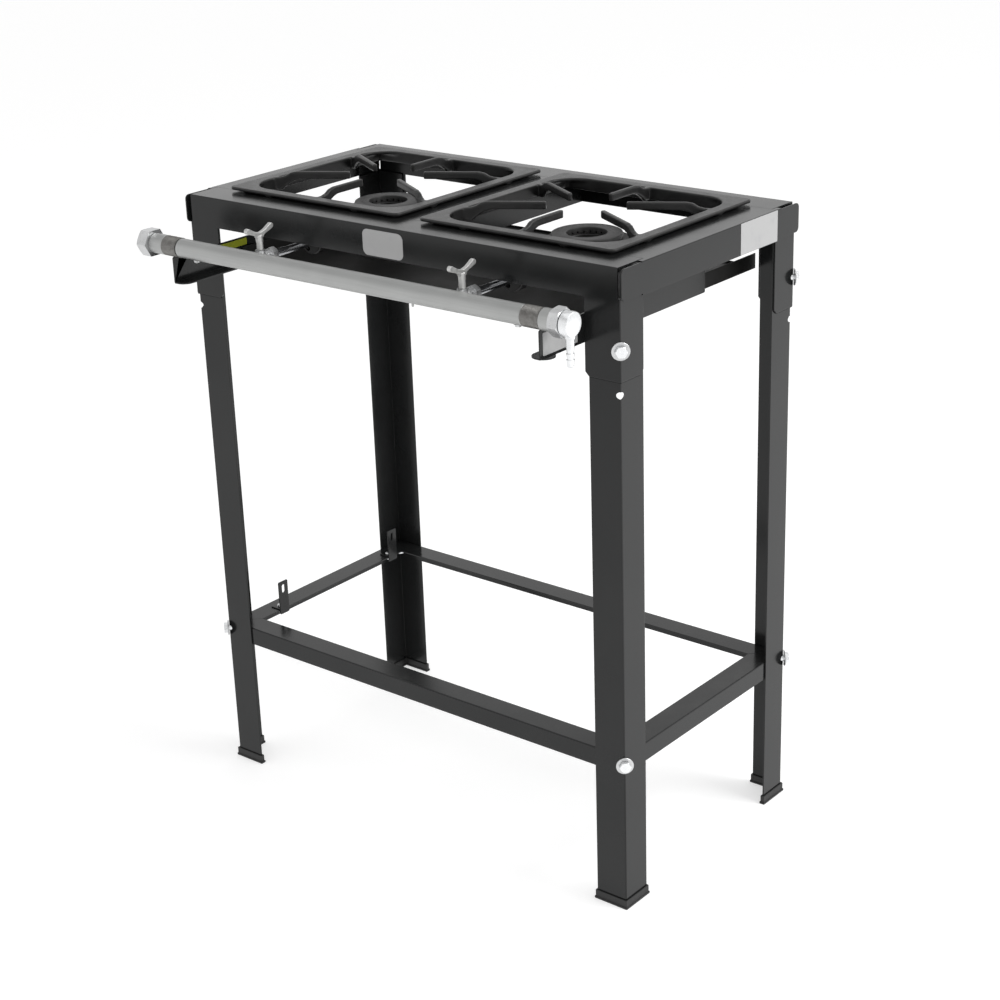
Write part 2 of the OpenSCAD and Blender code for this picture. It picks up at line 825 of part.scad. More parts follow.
// cast ring bowl with its mixing tube
module burner(sx) {
    bead = 1.5;
    placed() color(iron)
        difference() {
            union() {
                translate([sx * hob_x, 0, 0])
                    rotate_extrude()
                        polygon([
                            [eye_r, bowl_z], [cap_r, bowl_z], [cap_r, bowl_top - 4],
                            [burner_d / 2 - bead, bowl_top - 4], [burner_d / 2, bowl_top - 4 + bead],
                            [burner_d / 2, bowl_top - bead], [burner_d / 2 - bead, bowl_top],
                            [eye_r, bowl_top]
                        ]);
                translate([sx * hob_x, 0, 0])
                    for (dx = [-boss_dx, boss_dx])
                        translate([dx, 0, bracket_top]) cylinder(r = 7, h = bowl_z - bracket_top + 1);
                difference() {
                    towards_back(sx * hob_x, mouth_y, pipe_z) cylinder(r = tube_r, h = -mouth_y);
                    translate([sx * hob_x, 0, bowl_z - 20]) cylinder(r = cap_r - 1, h = 60);
                }
                towards_back(sx * hob_x, mouth_y, pipe_z) cylinder(r = mouth_r, h = 12);
                towards_back(sx * hob_x, mouth_y + 12, pipe_z) cylinder(r1 = mouth_r, r2 = tube_r, h = 8);
            }
            translate([sx * hob_x, 0, 0])
                rotate_extrude()
                    polygon([
                        [eye_r + wall, bowl_z + wall], [cap_r - 4, bowl_z + wall],
                        [cap_r - 4, bowl_top + 1], [eye_r + wall, bowl_top + 1]
                    ]);
            towards_back(sx * hob_x, mouth_y + 2, pipe_z) cylinder(r = mouth_r - mouth_wall, h = 10);
            towards_back(sx * hob_x, mouth_y + 12, pipe_z)
                cylinder(r1 = mouth_r - mouth_wall, r2 = 8, h = 20);
            towards_back(sx * hob_x, mouth_y + 31.9, pipe_z) cylinder(r1 = 8, r2 = 9.5, h = 60);
            towards_back(sx * hob_x, -cap_r - 14, pipe_z) cylinder(r = 4.5, h = 22);
            towards_back(sx * hob_x, mouth_y - 1, pipe_z) cylinder(r = injector_r + 0.3, h = 5);
            air_hole_cut(sx * hob_x, mouth_y - 1, 4);
            for (dx = [-boss_dx, boss_dx])
                translate([sx * hob_x + dx, 0, bracket_top - 1])
                    cylinder(r = screw_r + 0.05, h = 7);
        }
}

module burner_left() { burner(-1); }
module burner_right() { burner(1); }

// loose cap: a channel ring turned over, drilled through both skirts
module burner_cap(sx) {
    low = bowl_top + cap_gap;
    placed() color(iron)
        translate([sx * hob_x, 0, 0])
            difference() {
                rotate_extrude()
                    polygon([
                        [eye_r, low], [eye_r + wall, low], [eye_r + wall, cap_top - 4],
                        [cap_r - 4, cap_top - 4], [cap_r - 4, low], [cap_r, low],
                        [cap_r, cap_top - 1.5], [cap_r - 1.5, cap_top],
                        [eye_r + 1, cap_top], [eye_r, cap_top - 1]
                    ]);
                for (i = [0 : ports - 1], r = [eye_r - 1, cap_r - wall - 2])
                    rotate([0, 0, (i + 0.5) * 360 / ports])
                        translate([r, 0, low + 2.2])
                            rotate([0, 90, 0])
                                cylinder(r = port_r, h = wall + 3);
            }
}

module burner_cap_left() { burner_cap(-1); }
module burner_cap_right() { burner_cap(1); }

// ---- pan supports ----

// side view of a finger in (distance from the burner axis, height)
module finger_profile(root) {
    top_z = top_h + finger_rise;
    low_z = top_h - skirt_drop;
    rim_top = rim_z + rim_t;
    polygon([
        [root + 2, low_z], [root + 2, rim_top], [root - 6, rim_top + 0.5],
        [root - 13, rim_top + 2.4], [root - 20, top_z - 1.6], [root - 28, top_z],
        [tip_r, top_z], [tip_r, top_z - finger_h], [root - 34, top_z - finger_h],
        [root - 24, top_z - finger_h - 3], [root - 14, low_z + 5], [root - 9, low_z]
    ]);
}

module grate(sx) {
    rim_in_r = rim_in / cos(30);
    placed() color(iron)
        translate([sx * hob_x, 0, 0]) {
            translate([0, 0, rim_z])
                linear_extrude(rim_t)
                    difference() {
                        rounded_square(grate_half, 9);
                        rounded_square(rim_in, rim_web_r);
                    }
            translate([0, 0, top_h - skirt_drop])
                linear_extrude(rim_z - top_h + skirt_drop)
                    difference() {
                        rounded_square(skirt_half, 8);
                        rounded_square(rim_in, 6);
                    }
            for (a = [90, 270])
                rotate([0, 0, a])
                    rotate([90, 0, 0])
                        translate([0, 0, -finger_w / 2])
                            linear_extrude(finger_w) finger_profile(rim_in);
            for (a = [30, 150, 210, 330])
                rotate([0, 0, a])
                    rotate([90, 0, 0])
                        translate([0, 0, -finger_w / 2])
                            linear_extrude(finger_w) finger_profile(rim_in_r);
            for (a = [0 : 90 : 270], s = [-1, 1])
                rotate([0, 0, a])
                    translate([grate_half - 9, s * rim_in_r / 2 - 5, top_h + grate_gap])
                        cube([8, 10, rim_z - top_h]);
        }
}

module grate_left() { grate(-1); }
module grate_right() { grate(1); }

// ---- labels ----

module front_badge() {
    placed() color("white")
        plate_xz(-half_d - label_t, label_t)
            translate([-40, panel_z + 2])
                rounded_box(66, 33, 8);
}

module data_plate() {
    placed() color("white")
        plate_yz(half_w, label_t)
            translate([56, panel_z + 0.5])
                rounded_box(83, panel_h - 1, 1);
}

module bracket_labels() {
    placed() {
        color("white")
            plate_yz(bracket_x, label_t)
                translate([bracket_front + 5, bracket_z + 4])
                    rounded_box(64, 27, 1);
        color("gold")
            plate_yz(-bracket_x + sheet_t, label_t)
                translate([-196, bracket_top - 11])
                    rounded_box(57, 9, 1);
    }
}

front_apron();
rear_apron();
side_rail_left();
side_rail_right();
centre_divider();
leg_front_left();
leg_front_right();
leg_rear_left();
leg_rear_right();
foot_front_left();
foot_front_right();
foot_rear_left();
foot_rear_right();
shelf_rail_front();
shelf_rail_rear();
shelf_rail_left();
shelf_rail_right();
shelf_tab_front();
shelf_tab_rear();
tab_screws();
leg_bolts();
leg_washers();
leg_nuts();
bracket_left();
bracket_right();
drip_tray();
burner_bar();
burner_screws();
manifold_pipe();
pipe_screws();
end_cap();
inlet_adapter();
union_nut();
hose_elbow();
tap_left();
tap_right();
tap_handle_left();
tap_handle_right();
injector_left();
injector_right();
air_shutter_left();
air_shutter_right();
burner_left();
burner_right();
burner_cap_left();
burner_cap_right();
grate_left();
grate_right();
front_badge();
data_plate();
bracket_labels();
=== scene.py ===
"""A two-burner propane stand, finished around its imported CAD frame. Metres, +Z up, front towards -Y."""

import json
import math

import bmesh
import bpy
from mathutils import Matrix, Vector


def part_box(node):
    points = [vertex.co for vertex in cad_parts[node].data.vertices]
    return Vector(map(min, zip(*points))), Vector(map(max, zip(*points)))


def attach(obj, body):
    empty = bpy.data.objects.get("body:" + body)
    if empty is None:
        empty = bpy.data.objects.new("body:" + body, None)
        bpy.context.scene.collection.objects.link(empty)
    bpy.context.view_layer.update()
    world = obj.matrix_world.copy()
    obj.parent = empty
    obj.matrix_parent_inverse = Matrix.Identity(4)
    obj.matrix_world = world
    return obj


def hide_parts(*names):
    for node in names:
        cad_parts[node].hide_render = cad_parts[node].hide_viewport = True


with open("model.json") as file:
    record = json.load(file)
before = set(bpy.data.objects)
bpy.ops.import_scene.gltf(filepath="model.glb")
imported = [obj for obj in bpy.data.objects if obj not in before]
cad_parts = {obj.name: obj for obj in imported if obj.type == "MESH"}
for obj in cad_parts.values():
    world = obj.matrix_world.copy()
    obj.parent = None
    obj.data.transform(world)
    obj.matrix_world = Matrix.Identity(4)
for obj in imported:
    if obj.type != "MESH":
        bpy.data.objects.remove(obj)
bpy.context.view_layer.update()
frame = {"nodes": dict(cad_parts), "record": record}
nodes = frame["nodes"]
bodies = frame["record"]["behaviour"]["bodies"]
body_of = {node: body for body, members in bodies.items() for node in members}
side_sign = {"left": -1, "right": 1}

# ---- The studio ----
# A pale floor that runs out to a white surround, with a large soft key light behind on the
# right and a broad light overhead. The camera looks down at the stand from the front
# right, a little tilted.

front_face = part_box("front_apron")[0].y
rear_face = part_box("rear_apron")[1].y
middle_y = (front_face + rear_face) / 2
top_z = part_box("front_apron")[1].z

scene = bpy.context.scene
scene.view_settings.view_transform = "Standard"

camera_data = bpy.data.cameras.new("camera")
camera_data.sensor_width = 36
camera_data.lens = 73.53
camera_data.clip_start = 0.05
camera_data.clip_end = 60
camera = bpy.data.objects.new("camera", camera_data)
scene.collection.objects.link(camera)
scene.camera = camera
yaw, pitch, roll = 0.6918, 0.3757, -0.0344
camera_x, camera_reach, camera_z = 1.6558, 1.98595, 1.43945
ahead = Vector((-math.sin(yaw) * math.cos(pitch), math.cos(yaw) * math.cos(pitch), -math.sin(pitch)))
level = Vector((math.cos(yaw), math.sin(yaw), 0))
upright = level.cross(ahead)
right = level * math.cos(roll) + upright * math.sin(roll)
up = upright * math.cos(roll) - level * math.sin(roll)
turn = Matrix((right, up, -ahead)).transposed()
camera_place = Matrix.Translation((camera_x, middle_y - camera_reach, camera_z))
camera.matrix_world = camera_place @ turn.to_4x4()


def put(tree, kind, inputs=None, **settings):
    """Adds a node, sets its options, and fills or links its inputs by name or number."""
    made = tree.nodes.new(kind)
    for option, value in settings.items():
        setattr(made, option, value)
    for key, value in (inputs or {}).items():
        if isinstance(value, bpy.types.NodeSocket):
            tree.links.new(value, made.inputs[key])
        else:
            made.inputs[key].default_value = value
    return made


def soft_light(name, place, size, watts, aim):
    """A square area light that faces a point."""
    data = bpy.data.lights.new(name, "AREA")
    data.shape = "SQUARE"
    data.size = size
    data.energy = watts
    lamp = bpy.data.objects.new(name, data)
    lamp.location = place
    lamp.rotation_mode = "QUATERNION"
    lamp.rotation_quaternion = (Vector(aim) - Vector(place)).to_track_quat("-Z", "Y")
    scene.collection.objects.link(lamp)


soft_light("key_light", place=(2.6, 0.9, 2.3), size=2.0, watts=70, aim=(1.2, 1.0, 0))
soft_light("overhead_light", place=(0.2, -0.3, 3.4), size=2.6, watts=14, aim=(0, 0, 0.55))

world = bpy.data.worlds.new("surround")
world.use_nodes = True
scene.world = world
sky = world.node_tree
height = put(sky, "ShaderNodeSeparateXYZ", {0: put(sky, "ShaderNodeTexCoord").outputs["Generated"]})
fade = put(sky, "ShaderNodeMapRange", {"Value": height.outputs["Z"], "From Min": 0.35, "From Max": 0.95,
                                       "To Min": 1.0, "To Max": 0.42})
sky.nodes["Background"].inputs["Color"].default_value = (1, 1, 1, 1)
sky.links.new(fade.outputs["Result"], sky.nodes["Background"].inputs["Strength"])

floor_mesh = bpy.data.meshes.new("studio_floor")
floor_reach = 14
floor_corners = [(x * floor_reach, y * floor_reach, 0) for x, y in ((-1, -1), (1, -1), (1, 1), (-1, 1))]
floor_mesh.from_pydata(floor_corners, [], [(0, 1, 2, 3)])
studio_floor = bpy.data.objects.new("studio_floor", floor_mesh)
scene.collection.objects.link(studio_floor)
floor_material = bpy.data.materials.new("studio_floor")
floor_material.use_nodes = True
floor_shader = floor_material.node_tree.nodes["Principled BSDF"]
floor_shader.inputs["Base Color"].default_value = (0.6, 0.6, 0.6, 1)
floor_shader.inputs["Roughness"].default_value = 0.8
floor_shader.inputs["Emission Color"].default_value = (1, 1, 1, 1)
floor_shader.inputs["Emission Strength"].default_value = 0.54
floor_mesh.materials.append(floor_material)

# ---- The black stoving paint ----
# One finish covers most of the sheet steel: glossy charcoal-black paint, with the faint
# orange peel of a sprayed coat and a thin film of dust where it faces up.


def effect(name, inputs, outputs):
    """An empty shader group with named sockets, and its input and output nodes."""
    tree = bpy.data.node_groups.new(name, "ShaderNodeTree")
    for label, kind, value in inputs:
        socket = tree.interface.new_socket(name=label, in_out="INPUT", socket_type="NodeSocket" + kind)
        if value is not None:
            socket.default_value = value
    for label in outputs:
        tree.interface.new_socket(name=label, in_out="OUTPUT", socket_type="NodeSocketFloat")
    return tree, put(tree, "NodeGroupInput").outputs, put(tree, "NodeGroupOutput")


def uneven_skin():
    """Fine and broad unevenness: a height for bump, and a slow tone for colour and gloss."""
    tree, given, result = effect(
        "uneven_skin",
        [("Vector", "Vector", None), ("Fine Scale", "Float", 500), ("Broad Scale", "Float", 12),
         ("Broad Share", "Float", 0.3)],
        ["Height", "Tone"],
    )
    fine = put(tree, "ShaderNodeTexNoise",
               {"Vector": given["Vector"], "Scale": given["Fine Scale"], "Detail": 3, "Roughness": 0.6})
    broad = put(tree, "ShaderNodeTexNoise",
                {"Vector": given["Vector"], "Scale": given["Broad Scale"], "Detail": 4, "Roughness": 0.55})
    height = put(tree, "ShaderNodeMix", {"Factor": given["Broad Share"], "A": fine.outputs["Fac"],
                                         "B": broad.outputs["Fac"]}, data_type="FLOAT")
    tree.links.new(height.outputs["Result"], result.inputs["Height"])
    tree.links.new(broad.outputs["Fac"], result.inputs["Tone"])
    return tree


def settled_dust():
    """A patchy mask on what faces up."""
    tree, given, result = effect(
        "settled_dust",
        [("Vector", "Vector", None), ("Scale", "Float", 30), ("Amount", "Float", 0.5)],
        ["Mask"],
    )
    patches = put(tree, "ShaderNodeTexNoise",
                  {"Vector": given["Vector"], "Scale": given["Scale"], "Detail": 6, "Roughness": 0.7})
    thinned = put(tree, "ShaderNodeMapRange", {"Value": patches.outputs["Fac"], "From Min": 0.42,
                                               "From Max": 0.75}, interpolation_type="SMOOTHSTEP")
    normal = put(tree, "ShaderNodeNewGeometry").outputs["Normal"]
    facing = put(tree, "ShaderNodeSeparateXYZ", {"Vector": normal}).outputs["Z"]
    upward = put(tree, "ShaderNodeMapRange", {"Value": facing, "From Min": 0.6, "From Max": 1.0})
    both = put(tree, "ShaderNodeMath", {0: thinned.outputs["Result"], 1: upward.outputs["Result"]},
               operation="MULTIPLY")
    scaled = put(tree, "ShaderNodeMath", {0: both.outputs["Value"], 1: given["Amount"]}, operation="MULTIPLY")
    tree.links.new(scaled.outputs["Value"], result.inputs["Mask"])
    return tree


skin_effect = uneven_skin()
dust_effect = settled_dust()


def new_material(name):
    """A material with its shader, its tree and the object's own coordinates."""
    made = bpy.data.materials.new(name)
    made.use_nodes = True
    tree = made.node_tree
    place = put(tree, "ShaderNodeTexCoord").outputs["Object"]
    return made, tree, tree.nodes["Principled BSDF"], place


def laid_on(tree, place, finish, values):
    """An effect group on the piece's own coordinates, with one material's values."""
    return put(tree, "ShaderNodeGroup", {"Vector": place, **values}, node_tree=finish)


def shades(tree, mask, dark, light, low=0.3, high=0.7):
    """A colour that runs from dark to light as the mask goes from low to high."""
    ramp = put(tree, "ShaderNodeValToRGB", {"Fac": mask})
    for element, position, colour in zip(ramp.color_ramp.elements, (low, high), (dark, light)):
        element.position = position
        element.color = (*colour, 1)
    return ramp.outputs["Color"]


def between(tree, mask, low, high):
    """A number that runs from low to high with the mask."""
    return put(tree, "ShaderNodeMapRange",
               {"Value": mask, "From Min": 0.3, "From Max": 0.7, "To Min": low, "To Max": high}
               ).outputs["Result"]


def over(tree, mask, below, above):
    """One colour laid over another by a mask."""
    mixed = put(tree, "ShaderNodeMix", {0: mask, 6: below}, data_type="RGBA")
    mixed.inputs[7].default_value = (*above, 1)
    return mixed.outputs[2]


def raised(tree, shader, height, depth, strength=1.0):
    """Bump of a real depth in metres on the shader's normal."""
    bump = put(tree, "ShaderNodeBump", {"Height": height, "Distance": depth, "Strength": strength})
    tree.links.new(bump.outputs["Normal"], shader.inputs["Normal"])


def stoving_paint():
    made, tree, shader, place = new_material("stoving_paint")
    skin = laid_on(tree, place, skin_effect, {"Fine Scale": 420, "Broad Scale": 9, "Broad Share": 0.25})
    dust = laid_on(tree, place, dust_effect, {"Scale": 26, "Amount": 0.10})
    paint = shades(tree, skin.outputs["Tone"], (0.0095, 0.0100, 0.0102), (0.0130, 0.0134, 0.0134))
    tree.links.new(over(tree, dust.outputs["Mask"], paint, (0.11, 0.11, 0.105)), shader.inputs["Base Color"])
    tree.links.new(between(tree, skin.outputs["Tone"], 0.16, 0.25), shader.inputs["Roughness"])
    shader.inputs["Specular IOR Level"].default_value = 0.30
    raised(tree, shader, skin.outputs["Height"], 0.000035)
    return made


black_paint = stoving_paint()


def piece_of(name, shape):
    """A new object in the scene from a finished shape."""
    mesh = bpy.data.meshes.new(name)
    shape.to_mesh(mesh)
    shape.free()
    piece = bpy.data.objects.new(name, mesh)
    scene.collection.objects.link(piece)
    return piece


def cad_shape(source):
    """A merged copy of a CAD node's triangles."""
    same_point = 0.00002
    shape = bmesh.new()
    shape.from_mesh(nodes[source].data)
    bmesh.ops.remove_doubles(shape, verts=shape.verts, dist=same_point)
    return shape


def rounded_copy(name, source, edge=0.0004, fold=0.0, sheet=0.0022, segments=2):
    """The shape of a CAD node, with every sharp edge eased and each fold of a sheet given its bend."""
    same_plane = math.radians(0.8)
    least_corner = math.radians(28)
    sheet_edge = 1.6 * sheet
    shape = cad_shape(source)
    bmesh.ops.dissolve_limit(shape, angle_limit=same_plane, verts=shape.verts, edges=shape.edges)
    widest = max(edge, fold)
    weight = shape.edges.layers.float.new("bevel_weight_edge")

    def narrow(face):
        return face.calc_area() / max(side.calc_length() for side in face.edges) < sheet_edge

    for corner in shape.edges:
        drilled = corner.calc_length() < 2 * edge
        if not drilled and len(corner.link_faces) == 2 and corner.calc_face_angle(0) > least_corner:
            bent = fold and corner.is_convex and not any(narrow(face) for face in corner.link_faces)
            corner[weight] = (fold if bent else edge) / widest
    piece = piece_of(name, shape)
    bevel = piece.modifiers.new("eased_edges", "BEVEL")
    bevel.limit_method = "WEIGHT"
    bevel.width = widest
    bevel.segments = segments
    bevel.use_clamp_overlap = False
    piece.data.shade_smooth()
    flattened(piece)
    settle_normals(piece.data)
    return piece


def settle_normals(mesh):
    """Lets each broad face shade flat, so that only the eased edges turn the light."""
    same_side = 0.5
    lead = {}
    for face in mesh.polygons:
        for vert in face.vertices:
            if face.area > lead.get(vert, (0, None))[0]:
                lead[vert] = (face.area, face.normal.copy())
    mesh.normals_split_custom_set([
        lead[vert][1] if lead[vert][1].dot(face.normal) > same_side else face.normal.copy()
        for face in mesh.polygons for vert in face.vertices])


def flattened(piece):
    """Turns a piece's modifiers into its plain mesh."""
    depsgraph = bpy.context.evaluated_depsgraph_get()
    depsgraph.update()
    mesh = bpy.data.meshes.new_from_object(piece.evaluated_get(depsgraph), depsgraph=depsgraph)
    mesh.name = piece.name
    piece.modifiers.clear()
    piece.data = mesh
    return piece


def stand_for(piece, material, *sources):
    """Finishes a piece: its material, the body it moves with, and the CAD nodes it shows."""
    piece.data.materials.clear()
    piece.data.materials.append(material)
    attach(piece, body_of[sources[0]])
    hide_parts(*sources)
    return piece


# ---- The folded top ----
# Front and rear panels pressed from 2 mm sheet, each with a flange folded in at the top
# and a sleeve folded down at both ends; side rails with ears lap over them, and a hat
# strip runs between the two hob openings. All spot-welded, then sprayed.

for panel in ("front_apron", "rear_apron"):
    stand_for(rounded_copy(panel + "_sheet", panel, fold=0.0016), black_paint, panel)
for panel in ("side_rail_left", "side_rail_right", "centre_divider"):
    stand_for(rounded_copy(panel + "_sheet", panel, fold=0.0012), black_paint, panel)

# ---- Legs and shelf frame ----
# Four legs of 45 mm angle go up inside the sleeves. The low shelf frame is four angle
# rails, mitred and welded. Both are 2 mm steel in the same black paint.

corners = [f"{end}_{side}" for end in ("front", "rear") for side in ("left", "right")]
for corner in corners:
    stand_for(rounded_copy(f"leg_{corner}_angle", "leg_" + corner, fold=0.0018), black_paint, "leg_" + corner)
for rail in ("front", "rear", "left", "right"):
    stand_for(rounded_copy(f"shelf_rail_{rail}_angle", "shelf_rail_" + rail, fold=0.0018), black_paint,
              "shelf_rail_" + rail)

# ---- Foot shoes ----
# Push-on shoes on the leg ends, moulded in black plastic with a fine spark texture and
# a small lip round the base.


def moulded_plastic():
    made, tree, shader, place = new_material("moulded_plastic")
    skin = laid_on(tree, place, skin_effect, {"Fine Scale": 1600, "Broad Scale": 90, "Broad Share": 0.15})
    tree.links.new(shades(tree, skin.outputs["Tone"], (0.010, 0.010, 0.010), (0.018, 0.018, 0.018)),
                   shader.inputs["Base Color"])
    tree.links.new(between(tree, skin.outputs["Tone"], 0.42, 0.58), shader.inputs["Roughness"])
    shader.inputs["Specular IOR Level"].default_value = 0.4
    raised(tree, shader, skin.outputs["Height"], 0.00008)
    return made


shoe_plastic = moulded_plastic()
for corner in corners:
    stand_for(rounded_copy(f"foot_{corner}_shoe", "foot_" + corner, edge=0.0008, segments=3), shoe_plastic,
              "foot_" + corner)

# ---- Shelf tabs ----
# Two small slotted angle tabs of thin black sheet stand on the left shelf rail, each
# held by one zinc-plated pan-head screw.


def drawn_grain():
    """Fine streaks along one direction, from coordinates squeezed across it."""
    tree, given, result = effect(
        "drawn_grain",
        [("Vector", "Vector", None), ("Across", "Vector", (900, 900, 900)), ("Patch Scale", "Float", 40)],
        ["Height", "Tone"],
    )
    squeezed = put(tree, "ShaderNodeVectorMath", {0: given["Vector"], 1: given["Across"]},
                   operation="MULTIPLY")
    streaks = put(tree, "ShaderNodeTexNoise",
                  {"Vector": squeezed.outputs["Vector"], "Scale": 1, "Detail": 3, "Roughness": 0.65})
    patches = put(tree, "ShaderNodeTexNoise",
                  {"Vector": given["Vector"], "Scale": given["Patch Scale"], "Detail": 3})
    tone = put(tree, "ShaderNodeMix",
               {"Factor": 0.5, "A": streaks.outputs["Fac"], "B": patches.outputs["Fac"]}, data_type="FLOAT")
    tree.links.new(streaks.outputs["Fac"], result.inputs["Height"])
    tree.links.new(tone.outputs["Result"], result.inputs["Tone"])
    return tree


grain_effect = drawn_grain()


def bare_metal(name, dark, light, smooth, rough, across, depth, patch=40):
    """A bare or plated metal with its own colour, gloss and grain."""
    made, tree, shader, place = new_material(name)
    grain = laid_on(tree, place, grain_effect, {"Across": across, "Patch Scale": patch})
    tree.links.new(shades(tree, grain.outputs["Tone"], dark, light), shader.inputs["Base Color"])
    tree.links.new(between(tree, grain.outputs["Tone"], smooth, rough), shader.inputs["Roughness"])
    shader.inputs["Metallic"].default_value = 1.0
    raised(tree, shader, grain.outputs["Height"], depth)
    return made


zinc_plate = bare_metal("zinc_plate", (0.50, 0.505, 0.51), (0.66, 0.665, 0.67), 0.24, 0.38,
                        (700, 700, 700), 0.00002, 120)
for end in ("front", "rear"):
    tab = "shelf_tab_" + end
    stand_for(rounded_copy(tab + "_angle", tab, edge=0.0003, fold=0.0008, sheet=0.0016), black_paint, tab)
stand_for(rounded_copy("tab_screw_heads", "tab_screws", edge=0.0003), zinc_plate, "tab_screws")

# ---- Leg fasteners ----
# Bright zinc-plated M8 hexagon bolts pass through the corners of sleeve, leg and shelf
# frame on the diagonal, over large flat washers, with a nut behind.


def turned(name, outline, segments=48):
    """A closed solid of revolution about X, from (distance along X, radius) points round its section."""
    shape = bmesh.new()
    rings = []
    for along, radius in outline:
        if radius < 1e-7:
            rings.append([shape.verts.new((along, 0, 0))])
        else:
            angles = [2 * math.pi * i / segments for i in range(segments)]
            rings.append([shape.verts.new((along, radius * math.cos(a), radius * math.sin(a)))
                          for a in angles])
    hollow = all(len(ring) > 1 for ring in rings)
    pairs = list(zip(rings, rings[1:] + rings[:1])) if hollow else list(zip(rings, rings[1:]))
    for one, two in pairs:
        for i in range(segments):
            j = (i + 1) % segments
            loop = [one[i % len(one)], two[i % len(two)], two[j % len(two)], one[j % len(one)]]
            shape.faces.new(list(dict.fromkeys(loop)))
    bmesh.ops.recalc_face_normals(shape, faces=shape.faces)
    piece = piece_of(name, shape)
    piece.data.shade_smooth()
    piece.data.set_sharp_from_angle(angle=math.radians(32))
    return piece


def hexagon(name, across_flats, start, length, chamfer, hole=0.0, both=False, lean=0.0):
    """A hexagon bar along X with turned chamfers, from start outwards, a flat upwards and leaning back."""
    corner_r = across_flats / 2 / math.cos(math.radians(30))
    steps = 12
    shape = bmesh.new()

    def ring(along, limit):
        made = []
        for i in range(6 * steps):
            a = 2 * math.pi * i / (6 * steps)
            flat = across_flats / 2 / math.cos(a % (math.pi / 3) - math.pi / 6)
            r = min(flat, limit)
            a += math.radians(lean)
            made.append(shape.verts.new((along, r * math.cos(a), r * math.sin(a))))
        return made

    drop = chamfer / math.tan(math.radians(60))
    levels = 5
    rings = []
    for k in range(levels + 1):
        if both or k == levels:
            rings.append(ring(start + (drop * k / levels if both else 0),
                              corner_r - chamfer * (1 - k / levels) if both else corner_r))
    for k in range(levels + 1):
        rings.append(ring(start + length - drop * (1 - k / levels), corner_r - chamfer * k / levels))
    if hole:
        for along in (start + length, start):
            angles = [2 * math.pi * i / (6 * steps) + math.radians(lean) for i in range(6 * steps)]
            rings.append([shape.verts.new((along, hole * math.cos(a), hole * math.sin(a))) for a in angles])
        pairs = list(zip(rings, rings[1:] + rings[:1]))
    else:
        pairs = list(zip(rings, rings[1:]))
        shape.faces.new(rings[0])
        shape.faces.new(rings[-1])
    for one, two in pairs:
        for i in range(6 * steps):
            j = (i + 1) % (6 * steps)
            shape.faces.new([one[i], two[i], two[j], one[j]])
    bmesh.ops.recalc_face_normals(shape, faces=shape.faces)
    piece = piece_of(name, shape)
    piece.data.shade_smooth()
    piece.data.set_sharp_from_angle(angle=math.radians(24))
    return piece


def joined(name, *parts):
    """Several objects' meshes as one, and the objects removed."""
    shape = bmesh.new()
    for part in parts:
        part.data.transform(part.matrix_world)
        shape.from_mesh(part.data)
        bpy.data.objects.remove(part)
    return piece_of(name, shape)


def fastener(seat):
    """A washer along X with its back face at 0, and its bolt with the nut at seat behind."""
    washer_t, washer_r, rim = 0.0016, 0.011, 0.0003
    collar_t, collar_r, head_h, head_chamfer = 0.0005, 0.0058, 0.0053, 0.0011
    bolt_l, shank_end, end_chamfer = 0.024, 0.0005, 0.0009
    pitch, thread_depth, thread_count, lead_in = 0.00125, 0.0006, 8, 0.0006
    nut_h, nut_chamfer = 0.0065, 0.0009
    washer = turned("washer", [(0, bolt_r + rim), (0, washer_r - rim), (rim, washer_r),
                               (washer_t - rim, washer_r), (washer_t, washer_r - rim), (washer_t, bolt_r)])
    head_start = washer_t + collar_t
    collar = turned("collar", [(washer_t, 0), (washer_t, collar_r), (head_start, collar_r - 0.0001),
                               (head_start, 0)])
    head = hexagon("head", bolt_af, head_start, head_h - collar_t, head_chamfer)
    start = washer_t - bolt_l
    ridges = [(start, 0), (start, bolt_r - end_chamfer)]
    for i in range(thread_count):
        ridges.append((start + lead_in + i * pitch, bolt_r - thread_depth))
        ridges.append((start + lead_in + (i + 0.5) * pitch, bolt_r))
    plain_start = start + 2 * lead_in + thread_count * pitch
    shank = turned("shank", ridges + [(plain_start, bolt_r), (shank_end, bolt_r), (shank_end, 0)], 24)
    nut = hexagon("nut", bolt_af, -seat - nut_h, nut_h, nut_chamfer, hole=bolt_r, both=True)
    return washer, joined("one_bolt", collar, head, shank, nut)


